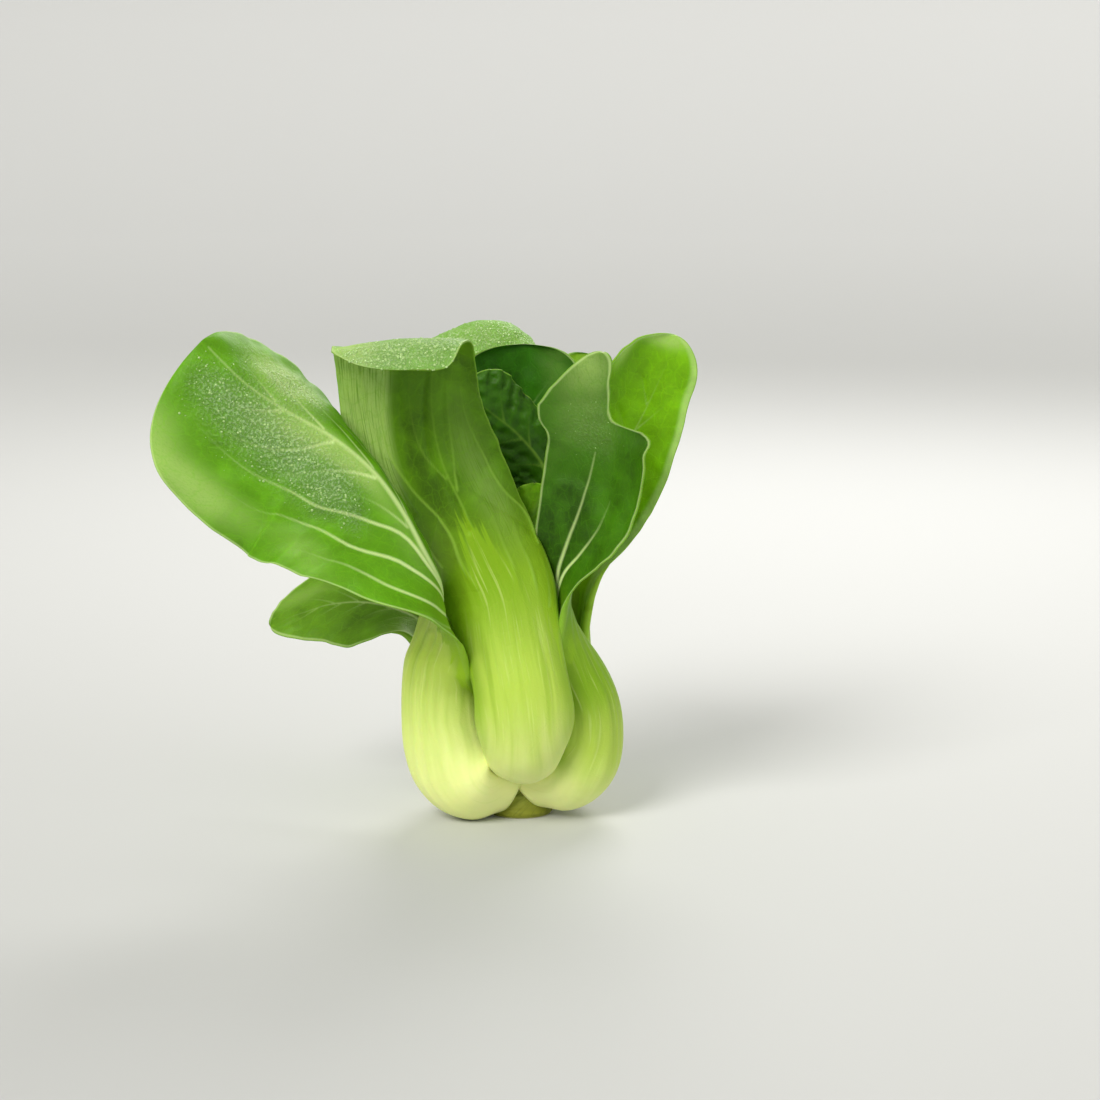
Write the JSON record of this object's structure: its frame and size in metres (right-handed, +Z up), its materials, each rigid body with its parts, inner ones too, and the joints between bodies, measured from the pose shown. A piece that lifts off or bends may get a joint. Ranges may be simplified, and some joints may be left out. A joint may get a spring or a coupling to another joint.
{
  "type": "bok choy",
  "caption": "Fresh head of baby bok choy standing on its cut end: thick pale green stalks cupped round a short butt, opening into broad green spoon-shaped leaves.",
  "frame": {"origin": "middle of the butt's cut face, on the surface the head stands on", "axes": "+Z up along the head; -Y is the front, where the widest stalk stands; +X to the right seen from the front"},
  "size_m": [0.1776, 0.1218, 0.1689],
  "materials": {
    "butt": "dull cut plant stem",
    "outer_leaf": "smooth, slightly waxy and wet leaf: pale stalk, green blade, pale veins",
    "inner_leaf": "smooth, slightly waxy leaf, mid green with pale veins",
    "heart_leaf": "crinkled young leaf, dark green with a pale midrib"
  },
  "bodies": {
    "root": {"butt": "butt", "leaf_front": "outer_leaf", "leaf_left": "outer_leaf", "leaf_right": "outer_leaf", "leaf_right_back": "outer_leaf", "leaf_back": "outer_leaf", "leaf_back_left": "outer_leaf", "leaf_inner_right": "inner_leaf", "leaf_inner_back": "inner_leaf", "leaf_heart_right": "heart_leaf", "leaf_heart_left": "heart_leaf", "leaf_heart_front": "heart_leaf"}
  },
  "joints": []
}
